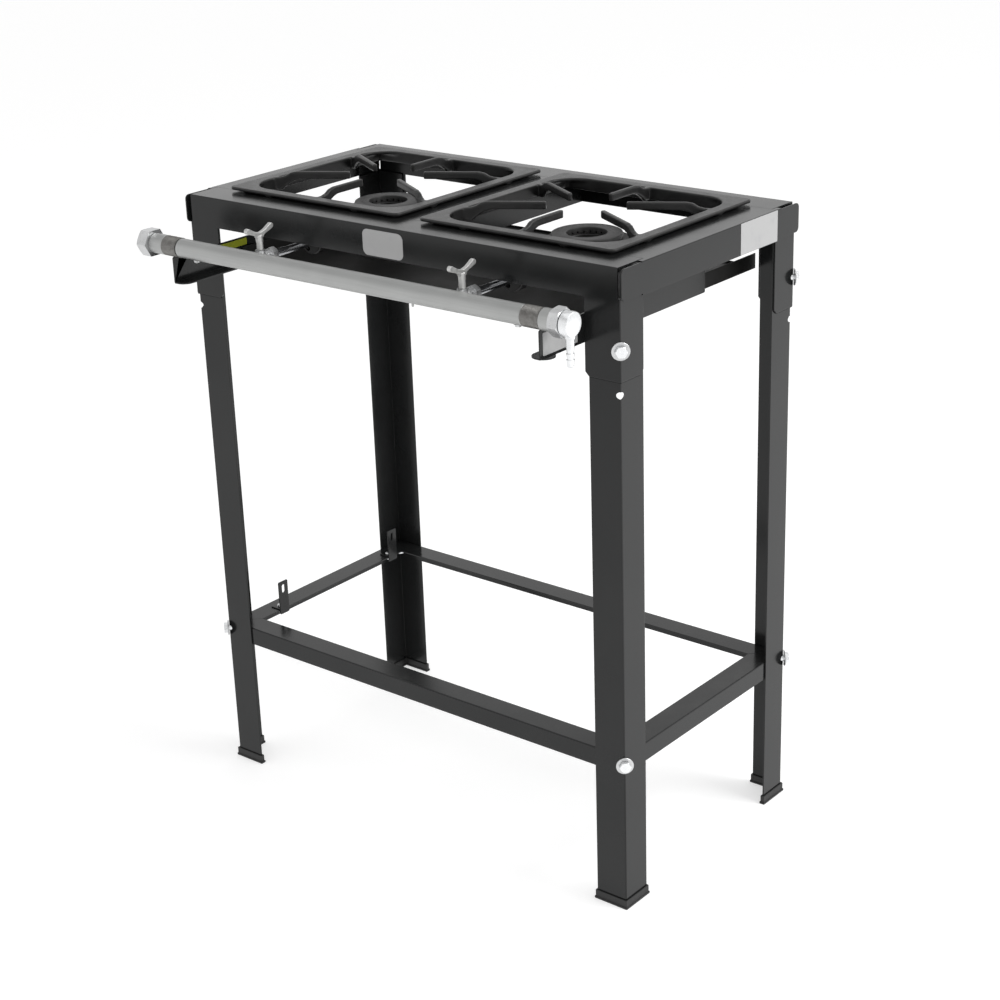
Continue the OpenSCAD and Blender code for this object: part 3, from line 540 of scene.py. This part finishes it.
def corner_tree():
    """Sets a part drawn along +X at the four corners of a rectangle, facing out on the diagonals."""
    tree = bpy.data.node_groups.new("at_four_corners", "GeometryNodeTree")
    for label, kind in (("Part", "Object"), ("Half Width", "Float"), ("Half Depth", "Float"),
                        ("Middle", "Float"), ("Height", "Float"), ("Material", "Material")):
        tree.interface.new_socket(name=label, in_out="INPUT", socket_type="NodeSocket" + kind)
    tree.interface.new_socket(name="Geometry", in_out="OUTPUT", socket_type="NodeSocketGeometry")
    given = put(tree, "NodeGroupInput").outputs
    width = put(tree, "ShaderNodeMath", {0: given["Half Width"], 1: 2.0}, operation="MULTIPLY")
    depth = put(tree, "ShaderNodeMath", {0: given["Half Depth"], 1: 2.0}, operation="MULTIPLY")
    grid = put(tree, "GeometryNodeMeshGrid", {"Size X": width.outputs[0], "Size Y": depth.outputs[0],
                                              "Vertices X": 2, "Vertices Y": 2})
    spot = put(tree, "ShaderNodeSeparateXYZ", {0: put(tree, "GeometryNodeInputPosition").outputs[0]})
    signs = [put(tree, "ShaderNodeMath", {0: spot.outputs[axis]}, operation="SIGN").outputs[0]
             for axis in ("X", "Y")]
    outward = put(tree, "ShaderNodeCombineXYZ", {"X": signs[0], "Y": signs[1]})
    facing = put(tree, "FunctionNodeAlignRotationToVector", {"Vector": outward.outputs[0]}, axis="X",
                 pivot_axis="Z")
    part = put(tree, "GeometryNodeObjectInfo", {"Object": given["Part"]})
    placed = put(tree, "GeometryNodeInstanceOnPoints",
                 {"Points": grid.outputs["Mesh"], "Instance": part.outputs["Geometry"],
                  "Rotation": facing.outputs[0]})
    lift = put(tree, "ShaderNodeCombineXYZ", {"Y": given["Middle"], "Z": given["Height"]})
    moved = put(tree, "GeometryNodeTransform",
                {"Geometry": placed.outputs[0], "Translation": lift.outputs[0]})
    real = put(tree, "GeometryNodeRealizeInstances", {0: moved.outputs[0]})
    finished = put(tree, "GeometryNodeSetMaterial", {0: real.outputs[0], "Material": given["Material"]})
    put(tree, "NodeGroupOutput", {0: finished.outputs[0]})
    return tree


def grown(name, tree, settings):
    """The plain mesh that a geometry tree makes from its named inputs."""
    piece = bpy.data.objects.new(name, bpy.data.meshes.new(name))
    scene.collection.objects.link(piece)
    modifier = piece.modifiers.new("made", "NODES")
    modifier.node_group = tree
    for item in tree.interface.items_tree:
        if item.item_type == "SOCKET" and item.in_out == "INPUT" and item.name in settings:
            modifier[item.identifier] = settings[item.name]
    return flattened(piece)


four_corners = corner_tree()
sleeve_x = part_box("front_apron")[1].x
half_depth = (rear_face - front_face) / 2
leg_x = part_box("leg_front_right")[1].x
leg_half_depth = half_depth - 0.002
bolt_r, bolt_af, nut_gap = 0.004, 0.013, 0.0004
nut_seat = bolt_r * math.sqrt(2) + bolt_af / 2 / math.cos(math.radians(30)) + nut_gap
sleeve_bolt_drop, shelf_bolt_drop = 0.097, 0.010
bright_plate = bare_metal("bright_plate", (0.74, 0.75, 0.76), (0.88, 0.89, 0.90), 0.22, 0.34,
                          (500, 500, 500), 0.00002, 90)
shelf_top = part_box("shelf_rail_front")[1].z
one_washer, one_bolt = fastener(nut_seat)
for level, half_width, half_y, height in (
        ("top", sleeve_x, half_depth, top_z - sleeve_bolt_drop),
        ("shelf", leg_x, leg_half_depth, shelf_top - shelf_bolt_drop)):
    for kind, part, plate in (("washers", one_washer, zinc_plate), ("bolts", one_bolt, bright_plate)):
        ring = grown(f"{level}_corner_{kind}", four_corners, {
            "Part": part, "Half Width": half_width, "Half Depth": half_y, "Middle": middle_y,
            "Height": height, "Material": plate})
        stand_for(ring, plate, "leg_bolts", "leg_washers", "leg_nuts")
bpy.data.objects.remove(one_washer)
bpy.data.objects.remove(one_bolt)

# ---- Brackets, drip tray and burner bar ----
# Two angle brackets of 2 mm sheet carry the pipe in front, guide the flat drip tray on
# their bottom flanges and hold the bar that the burners stand on.


def dull_paint():
    made, tree, shader, place = new_material("dull_paint")
    skin = laid_on(tree, place, skin_effect, {"Fine Scale": 700, "Broad Scale": 14, "Broad Share": 0.4})
    dust = laid_on(tree, place, dust_effect, {"Scale": 18, "Amount": 0.06})
    paint = shades(tree, skin.outputs["Tone"], (0.0085, 0.0085, 0.0085), (0.0135, 0.0132, 0.0128))
    tree.links.new(over(tree, dust.outputs["Mask"], paint, (0.10, 0.10, 0.095)), shader.inputs["Base Color"])
    tree.links.new(between(tree, skin.outputs["Tone"], 0.42, 0.56), shader.inputs["Roughness"])
    shader.inputs["Specular IOR Level"].default_value = 0.16
    raised(tree, shader, skin.outputs["Height"], 0.00005)
    return made


tray_paint = dull_paint()
for side in ("left", "right"):
    stand_for(rounded_copy(f"bracket_{side}_angle", "bracket_" + side, edge=0.0003), black_paint,
              "bracket_" + side)
stand_for(rounded_copy("drip_tray_sheet", "drip_tray", edge=0.0003), tray_paint, "drip_tray")
stand_for(rounded_copy("burner_bar_flat", "burner_bar", edge=0.0005), black_paint, "burner_bar")
stand_for(rounded_copy("burner_screw_heads", "burner_screws", edge=0.0002), zinc_plate, "burner_screws")

# ---- Gas pipe ----
# Three-quarter-inch galvanised tube with a thread cut on both ends. A hexagon plug closes
# the left end; a nipple and a union nut make the inlet on the right.

satin_pipe = bare_metal("satin_pipe", (0.36, 0.365, 0.36), (0.44, 0.445, 0.44), 0.38, 0.48,
                        (14, 500, 500), 0.00003, 18)
cut_thread = bare_metal("cut_thread", (0.13, 0.125, 0.118), (0.26, 0.255, 0.245), 0.32, 0.48,
                        (220, 500, 500), 0.00003, 160)

pipe_low, pipe_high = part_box("manifold_pipe")
thread_r = (pipe_high.y - pipe_low.y) / 2
pipe_r = thread_r - 0.0006
pipe_axis = Vector((0, (pipe_low.y + pipe_high.y) / 2, pipe_high.z - thread_r))
thread_l, thread_depth, thread_pitch = 0.0255, 0.0008, 0.0018


def thread_tree():
    """A skin of threads along X: a grid rolled into a tube whose radius rises and falls round a helix."""
    tree = bpy.data.node_groups.new("cut_thread", "GeometryNodeTree")
    for label, kind in (("Start", "Float"), ("Length", "Float"), ("Radius", "Float"), ("Depth", "Float"),
                        ("Pitch", "Float"), ("Centre", "Vector"), ("Rings", "Int"), ("Material", "Material")):
        tree.interface.new_socket(name=label, in_out="INPUT", socket_type="NodeSocket" + kind)
    tree.interface.new_socket(name="Geometry", in_out="OUTPUT", socket_type="NodeSocketGeometry")
    given = put(tree, "NodeGroupInput").outputs

    def maths(operation, one, two=0.0):
        return put(tree, "ShaderNodeMath", {0: one, 1: two}, operation=operation).outputs[0]

    grid = put(tree, "GeometryNodeMeshGrid", {"Size X": 1.0, "Size Y": 1.0, "Vertices X": given["Rings"],
                                              "Vertices Y": 61})
    spot = put(tree, "ShaderNodeSeparateXYZ", {0: put(tree, "GeometryNodeInputPosition").outputs[0]})
    share = maths("ADD", spot.outputs["X"], 0.5)
    along = maths("MULTIPLY", share, given["Length"])
    round_share = maths("ADD", spot.outputs["Y"], 0.5)
    angle = maths("MULTIPLY", round_share, 2 * math.pi)
    phase = maths("SUBTRACT", maths("DIVIDE", along, given["Pitch"]), round_share)
    ridge = maths("ABSOLUTE", maths("SUBTRACT", maths("MULTIPLY", maths("FRACT", phase), 2.0), 1.0))
    nearest_end = maths("MINIMUM", share, maths("SUBTRACT", 1.0, share))
    run_out = maths("MINIMUM", maths("MULTIPLY", nearest_end, 12.0), 1.0)
    cut = maths("MULTIPLY", maths("MULTIPLY", ridge, given["Depth"]), run_out)
    radius = maths("SUBTRACT", given["Radius"], cut)
    place = put(tree, "ShaderNodeCombineXYZ", {
        "X": maths("ADD", along, given["Start"]),
        "Y": maths("MULTIPLY", radius, maths("COSINE", angle)),
        "Z": maths("MULTIPLY", radius, maths("SINE", angle))})
    put_at = put(tree, "ShaderNodeVectorMath", {0: place.outputs[0], 1: given["Centre"]}, operation="ADD")
    rolled = put(tree, "GeometryNodeSetPosition", {"Geometry": grid.outputs["Mesh"],
                                                   "Position": put_at.outputs[0]})
    sealed = put(tree, "GeometryNodeMergeByDistance", {"Geometry": rolled.outputs[0], "Distance": 0.00001})
    real = put(tree, "GeometryNodeRealizeInstances", {0: sealed.outputs[0]})
    finished = put(tree, "GeometryNodeSetMaterial", {0: real.outputs[0], "Material": given["Material"]})
    put(tree, "NodeGroupOutput", {0: finished.outputs[0]})
    return tree


def capped(piece):
    """Closes a tube's open ends and points all its faces outwards."""
    shape = bmesh.new()
    shape.from_mesh(piece.data)
    bmesh.ops.remove_doubles(shape, verts=shape.verts, dist=0.000005)
    bmesh.ops.holes_fill(shape, edges=[side for side in shape.edges if side.is_boundary])
    bmesh.ops.recalc_face_normals(shape, faces=shape.faces)
    shape.to_mesh(piece.data)
    shape.free()
    piece.data.shade_smooth()
    piece.data.set_sharp_from_angle(angle=math.radians(50))
    return piece


threads = thread_tree()
tube_left = pipe_low.x + thread_l
tube_right = pipe_high.x - thread_l
ease = 0.0012
stud_places = (-0.263, 0.105)
stud_r, stud_h, stud_edge, stud_root = 0.0015, 0.004, 0.0003, 0.001
tube = turned("pipe_tube", [(tube_left, 0), (tube_left, pipe_r - ease), (tube_left + ease, pipe_r),
                            (tube_right - ease, pipe_r), (tube_right, pipe_r - ease), (tube_right, 0)], 96)
for along in stud_places:
    stud = turned("stud", [(pipe_r - stud_root, 0), (pipe_r - stud_root, stud_r),
                           (pipe_r + stud_h - stud_edge, stud_r), (pipe_r + stud_h, stud_r - stud_edge),
                           (pipe_r + stud_h, 0)], 20)
    stud.data.transform(Matrix.Translation((along, 0, 0)) @ Matrix.Rotation(math.pi / 2, 4, "Y"))
    tube = joined("pipe_tube_and_studs", tube, stud)
tube.data.transform(Matrix.Translation(pipe_axis))
tube.name = "pipe_tube_with_studs"
stand_for(tube, satin_pipe, "manifold_pipe")
for side, start in (("left", pipe_low.x), ("right", tube_right)):
    thread = capped(grown(f"pipe_thread_{side}", threads, {
        "Start": start, "Length": thread_l, "Radius": thread_r, "Depth": thread_depth, "Pitch": thread_pitch,
        "Centre": pipe_axis, "Rings": 113, "Material": cut_thread}))
    stand_for(thread, cut_thread, "manifold_pipe")

plug_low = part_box("end_cap")[0]
plug_hex_l, plug_af, plug_chamfer = 0.017, 0.033, 0.0022
plug = hexagon("end_plug_hexagon", plug_af, 0, plug_hex_l, plug_chamfer)
plug.data.transform(Matrix.Translation((plug_low.x + plug_hex_l, 0, 0)) @ Matrix.Rotation(math.pi, 4, "Z"))
plug.data.transform(Matrix.Translation(pipe_axis))
stand_for(plug, zinc_plate, "end_cap")
neck_r, neck_ease, neck_root, groove = 0.013, 0.0008, 0.001, 0.0006
neck_x = plug_low.x + plug_hex_l
plug_neck = turned("end_plug_neck", [
    (neck_x - neck_root, 0), (neck_x - neck_root, neck_r - neck_ease), (neck_x + groove, neck_r - neck_ease),
    (neck_x + groove + neck_ease, neck_r), (pipe_low.x - neck_ease, neck_r),
    (pipe_low.x, neck_r - neck_ease), (pipe_low.x, 0)], 64)
plug_neck.data.transform(Matrix.Translation(pipe_axis))
stand_for(plug_neck, satin_pipe, "end_cap")

nut_low, nut_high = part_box("union_nut")
nut_bore, nut_af, nut_edge, nut_lean = 0.0081, 0.031, 0.0020, 12
union = hexagon("union_nut_hexagon", nut_af, nut_low.x, nut_high.x - nut_low.x, nut_edge, hole=nut_bore,
                both=True, lean=nut_lean)
union.data.transform(Matrix.Translation(pipe_axis))
stand_for(union, zinc_plate, "union_nut")
adapter_low, adapter_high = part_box("inlet_adapter")
adapter_r = (adapter_high.y - adapter_low.y) / 2
adapter_ease = 0.0008
nipple = turned("inlet_nipple", [
    (pipe_high.x, 0), (pipe_high.x, adapter_r - adapter_ease), (pipe_high.x + adapter_ease, adapter_r),
    (nut_low.x - adapter_ease, adapter_r), (nut_low.x, adapter_r - adapter_ease), (nut_low.x, 0)], 64)
nipple.data.transform(Matrix.Translation(pipe_axis))
stand_for(nipple, satin_pipe, "inlet_adapter")
stand_for(rounded_copy("pipe_screw_heads", "pipe_screws", edge=0.0003), zinc_plate, "pipe_screws")

# ---- Hose tail ----
# A swivelling elbow, turned from bright-plated steel: a round head held by the union nut,
# with a barbed tail for the gas hose hanging from it.

tail_low, tail_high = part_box("hose_elbow")
head_r, head_l, head_back_ease, head_dome = 0.015, 0.012, 0.0008, 0.0018
spigot_x = nut_low.x + 0.0092
spigot_r, spigot_flare = 0.0080, 0.0008
head_x = tail_high.x - head_l
drop_x = tail_high.x - head_l / 2
head = turned("elbow_head", [
    (spigot_x, 0), (spigot_x, spigot_r), (head_x - 0.0002, spigot_r), (head_x, spigot_r + spigot_flare),
    (head_x, head_r - head_back_ease), (head_x + head_back_ease, head_r), (tail_high.x - head_dome, head_r),
    (tail_high.x - 0.0005, head_r - 0.0007), (tail_high.x, head_r - head_dome), (tail_high.x, 0)], 72)
collar_r, collar_l, collar_ease = 0.006, 0.002, 0.0003
barb_r, barb_neck, barb_ridge, barb_count, barb_drop = 0.00475, 0.012, 0.007, 3, 0.0009
tip_r, tip_ease, hose_bore_r, hose_bore_l = 0.00345, 0.0004, 0.0025, 0.02
barb_top = head_r - 0.003
collar_end = head_r + collar_l
barb = [(barb_top, 0), (barb_top, collar_r), (collar_end - collar_ease, collar_r),
        (collar_end, collar_r - collar_ease), (collar_end, barb_r), (head_r + barb_neck, barb_r)]
for i in range(barb_count):
    low = head_r + barb_neck + i * barb_ridge
    barb += [(low + 0.0003, barb_r), (low + barb_ridge - 0.0006, barb_r - barb_drop)]
tail_end = pipe_axis.z - tail_low.z
barb += [(tail_end - tip_ease, barb_r - barb_drop), (tail_end, tip_r), (tail_end, hose_bore_r),
         (tail_end - hose_bore_l, hose_bore_r), (tail_end - hose_bore_l, 0)]
tail = turned("elbow_barb", barb, 40)
tail.data.transform(Matrix.Translation((drop_x, 0, 0)) @ Matrix.Rotation(math.pi / 2, 4, "Y"))
elbow = joined("hose_elbow_turned", head, tail)
elbow.data.transform(Matrix.Translation(pipe_axis))
elbow.data.set_sharp_from_angle(angle=math.radians(32))
stand_for(elbow, bright_plate, "hose_elbow")

# ---- Taps, injector tubes and air shutters ----
# Small plug cocks screw into the back of the pipe. Each has a die-cast wing handle, a
# bright tube with the jet at its end, and a thin steel disc that meters the air.

cast_alloy = bare_metal("cast_alloy", (0.48, 0.48, 0.475), (0.62, 0.62, 0.61), 0.42, 0.56,
                        (1500, 1500, 1500), 0.00012, 260)


def cast_copy(name, source, voxel, passes):
    """The shape of a CAD node as a casting, with the soft edges and fillets of a mould."""
    piece = piece_of(name, cad_shape(source))
    remesh = piece.modifiers.new("skin", "REMESH")
    remesh.mode = "VOXEL"
    remesh.voxel_size = voxel
    remesh.use_smooth_shade = True
    smooth = piece.modifiers.new("soft_edges", "SMOOTH")
    smooth.factor = 0.5
    smooth.iterations = passes
    return flattened(piece)


drawn_tube = bare_metal("drawn_tube", (0.16, 0.165, 0.175), (0.42, 0.425, 0.44), 0.14, 0.26,
                        (700, 12, 700), 0.00002, 60)
for side in ("left", "right"):
    stand_for(rounded_copy(f"tap_{side}_body", "tap_" + side, edge=0.0003), zinc_plate, "tap_" + side)
    stand_for(cast_copy(f"tap_handle_{side}_wing", "tap_handle_" + side, voxel=0.0004, passes=2), cast_alloy,
              "tap_handle_" + side)
    stand_for(rounded_copy(f"injector_{side}_tube", "injector_" + side, edge=0.0003), drawn_tube,
              "injector_" + side)
    stand_for(rounded_copy(f"air_shutter_{side}_disc", "air_shutter_" + side, edge=0.0002), tray_paint,
              "air_shutter_" + side)

# ---- Burners ----
# Sand-cast iron ring burners under black enamel. The bowl, its flange and the mixing tube
# are one casting; the cap lies loose on it and is drilled with a ring of ports.


def rubbed_edges():
    """A broken mask along raised edges."""
    tree, given, result = effect(
        "rubbed_edges",
        [("Vector", "Vector", None), ("Scale", "Float", 120), ("Amount", "Float", 0.5)],
        ["Mask"],
    )
    point = put(tree, "ShaderNodeNewGeometry").outputs["Pointiness"]
    sharp = put(tree, "ShaderNodeMapRange", {"Value": point, "From Min": 0.52, "From Max": 0.60})
    broken = put(tree, "ShaderNodeTexNoise",
                 {"Vector": given["Vector"], "Scale": given["Scale"], "Detail": 5})
    chipped = put(tree, "ShaderNodeMapRange",
                  {"Value": broken.outputs["Fac"], "From Min": 0.4, "From Max": 0.65})
    both = put(tree, "ShaderNodeMath", {0: sharp.outputs["Result"], 1: chipped.outputs["Result"]},
               operation="MULTIPLY")
    scaled = put(tree, "ShaderNodeMath", {0: both.outputs[0], 1: given["Amount"]}, operation="MULTIPLY")
    tree.links.new(scaled.outputs[0], result.inputs["Mask"])
    return tree


edge_effect = rubbed_edges()


def enamelled_iron(name, tone, gloss, grit):
    made, tree, shader, place = new_material(name)
    skin = laid_on(tree, place, skin_effect, {"Fine Scale": grit, "Broad Scale": 45, "Broad Share": 0.45})
    rub = laid_on(tree, place, edge_effect, {"Scale": 130, "Amount": 0.35})
    dust = laid_on(tree, place, dust_effect, {"Scale": 60, "Amount": 0.12})
    skin_colour = shades(tree, skin.outputs["Tone"], [0.75 * tone] * 3, [1.25 * tone] * 3)
    rubbed = over(tree, rub.outputs["Mask"], skin_colour, (0.07, 0.068, 0.066))
    dusty = over(tree, dust.outputs["Mask"], rubbed, (0.10, 0.098, 0.095))
    roughness = between(tree, skin.outputs["Height"], gloss - 0.08, gloss + 0.10)
    tree.links.new(dusty, shader.inputs["Base Color"])
    tree.links.new(roughness, shader.inputs["Roughness"])
    shader.inputs["Specular IOR Level"].default_value = 0.38
    raised(tree, shader, skin.outputs["Height"], 0.00035)
    return made


burner_iron = enamelled_iron("burner_iron", 0.016, 0.42, 1100)
grate_iron = enamelled_iron("grate_iron", 0.012, 0.34, 900)

for side in ("left", "right"):
    stand_for(cast_copy(f"burner_{side}_bowl", "burner_" + side, voxel=0.0010, passes=4), burner_iron,
              "burner_" + side)


def drill_tree():
    """A turned ring along Z, drilled all round through both its skirts."""
    tree = bpy.data.node_groups.new("drilled_ring", "GeometryNodeTree")
    for label, kind in (("Ring", "Object"), ("Ports", "Int"), ("Port Radius", "Float"), ("Reach", "Float"),
                        ("Inner Skirt", "Float"), ("Outer Skirt", "Float"), ("Height", "Float"),
                        ("Material", "Material")):
        tree.interface.new_socket(name=label, in_out="INPUT", socket_type="NodeSocket" + kind)
    tree.interface.new_socket(name="Geometry", in_out="OUTPUT", socket_type="NodeSocketGeometry")
    given = put(tree, "NodeGroupInput").outputs
    drill = put(tree, "GeometryNodeMeshCylinder", {"Vertices": 14, "Radius": given["Port Radius"],
                                                   "Depth": given["Reach"]})
    row = put(tree, "GeometryNodeMeshLine", {"Count": given["Ports"], "Offset": (0, 0, 0)})
    number = put(tree, "ShaderNodeMath", {0: put(tree, "GeometryNodeInputIndex").outputs[0], 1: 0.5},
                 operation="ADD")
    step = put(tree, "ShaderNodeMath", {0: 2 * math.pi, 1: given["Ports"]}, operation="DIVIDE")
    angle = put(tree, "ShaderNodeMath", {0: number.outputs[0], 1: step.outputs[0]}, operation="MULTIPLY")
    cosine = put(tree, "ShaderNodeMath", {0: angle.outputs[0]}, operation="COSINE")
    sine = put(tree, "ShaderNodeMath", {0: angle.outputs[0]}, operation="SINE")
    outward = put(tree, "ShaderNodeCombineXYZ", {"X": cosine.outputs[0], "Y": sine.outputs[0]})
    facing = put(tree, "FunctionNodeAlignRotationToVector", {"Vector": outward.outputs[0]}, axis="Z")
    sets = []
    for skirt in ("Inner Skirt", "Outer Skirt"):
        spot = put(tree, "ShaderNodeVectorMath", {0: outward.outputs[0]}, operation="SCALE")
        tree.links.new(given[skirt], spot.inputs["Scale"])
        rise = put(tree, "ShaderNodeCombineXYZ", {"Z": given["Height"]})
        place = put(tree, "ShaderNodeVectorMath", {0: spot.outputs[0], 1: rise.outputs[0]}, operation="ADD")
        points = put(tree, "GeometryNodeSetPosition",
                     {"Geometry": row.outputs[0], "Position": place.outputs[0]})
        sets.append(put(tree, "GeometryNodeInstanceOnPoints",
                        {"Points": points.outputs[0], "Instance": drill.outputs["Mesh"],
                         "Rotation": facing.outputs[0]}))
    drills = put(tree, "GeometryNodeJoinGeometry")
    for made in sets:
        tree.links.new(made.outputs[0], drills.inputs[0])
    cutters = put(tree, "GeometryNodeRealizeInstances", {0: drills.outputs[0]})
    ring = put(tree, "GeometryNodeObjectInfo", {"Object": given["Ring"]})
    cut = put(tree, "GeometryNodeMeshBoolean",
              {"Mesh 1": ring.outputs["Geometry"], "Mesh 2": cutters.outputs[0]},
              operation="DIFFERENCE", solver="EXACT")
    real = put(tree, "GeometryNodeRealizeInstances", {0: cut.outputs["Mesh"]})
    finished = put(tree, "GeometryNodeSetMaterial", {0: real.outputs[0], "Material": given["Material"]})
    put(tree, "NodeGroupOutput", {0: finished.outputs[0]})
    return tree


drilled_ring = drill_tree()
cap_low, cap_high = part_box("burner_cap_left")
cap_r = (cap_high.x - cap_low.x) / 2
eye_r, skirt_t = 0.0255, 0.003
cap_floor, cap_roof = cap_low.z, cap_high.z
outer_t, roof_t, hem = 0.004, 0.004, 0.0004
port_r, port_count, port_rise, drill_l = 0.0013, 20, 0.0022, 0.0075
soft = 0.0012
soft_rise, soft_in = 0.35 * soft, 0.3 * soft
cap_ring = turned("cap_ring", [
    (cap_floor, eye_r + 0.0002), (cap_floor, eye_r + skirt_t), (cap_roof - roof_t, eye_r + skirt_t),
    (cap_roof - roof_t, cap_r - outer_t), (cap_floor, cap_r - outer_t), (cap_floor, cap_r - hem),
    (cap_floor + hem, cap_r), (cap_roof - soft, cap_r), (cap_roof - soft_rise, cap_r - soft_in),
    (cap_roof, cap_r - soft), (cap_roof, eye_r + soft), (cap_roof - soft_rise, eye_r + soft_in),
    (cap_roof - soft, eye_r)], 128)
cap_ring.data.transform(Matrix.Rotation(-math.pi / 2, 4, "Y"))
for side, sign in side_sign.items():
    low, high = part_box("burner_cap_" + side)
    cap = grown(f"burner_cap_{side}_ring", drilled_ring, {
        "Ring": cap_ring, "Ports": port_count, "Port Radius": port_r, "Reach": drill_l,
        "Inner Skirt": eye_r + 0.0012, "Outer Skirt": cap_r - 0.0022, "Height": cap_floor + port_rise,
        "Material": burner_iron})
    cap.data.transform(Matrix.Translation(((low.x + high.x) / 2, (low.y + high.y) / 2, 0)))
    cap.data.shade_smooth()
    cap.data.set_sharp_from_angle(angle=math.radians(38))
    stand_for(cap, burner_iron, "burner_cap_" + side)
bpy.data.objects.remove(cap_ring)

# ---- Pan supports ----
# Each pan support is one sand-casting in black enamelled iron: a square rim that laps over
# the hob opening, a skirt that drops inside it, and six curved fingers.

for side in ("left", "right"):
    stand_for(cast_copy(f"grate_{side}_casting", "grate_" + side, voxel=0.0013, passes=6), grate_iron,
              "grate_" + side)

# ---- Labels ----
# Adhesive film: a badge on the front panel, a data plate on the right rail, and a sticker
# on each bracket, one of them yellow. All are left blank.


def printed_film(name, ground, ink):
    made, tree, shader, place = new_material(name)
    skin = laid_on(tree, place, skin_effect, {"Fine Scale": 300, "Broad Scale": 60})
    tree.links.new(shades(tree, skin.outputs["Tone"], ground, ink, 0.55, 0.95), shader.inputs["Base Color"])
    tree.links.new(between(tree, skin.outputs["Tone"], 0.28, 0.38), shader.inputs["Roughness"])
    raised(tree, shader, skin.outputs["Height"], 0.00002)
    return made


white_film = printed_film("white_film", (0.35, 0.35, 0.35), (0.29, 0.29, 0.30))
olive_film = printed_film("olive_film", (0.20, 0.22, 0.012), (0.15, 0.16, 0.012))
stand_for(rounded_copy("front_badge_film", "front_badge", edge=0.0001), white_film, "front_badge")
stand_for(rounded_copy("data_plate_film", "data_plate", edge=0.0001), white_film, "data_plate")


def one_side(piece, sign):
    """Keeps only the part of a piece on one side of the stand."""
    shape = bmesh.new()
    shape.from_mesh(piece.data)
    bmesh.ops.delete(shape, geom=[vert for vert in shape.verts if vert.co.x * sign < 0], context="VERTS")
    shape.to_mesh(piece.data)
    shape.free()
    return piece


for side, film in (("left", olive_film), ("right", white_film)):
    sticker = rounded_copy(f"bracket_{side}_sticker", "bracket_labels", edge=0.0001)
    stand_for(one_side(sticker, side_sign[side]), film, "bracket_labels")
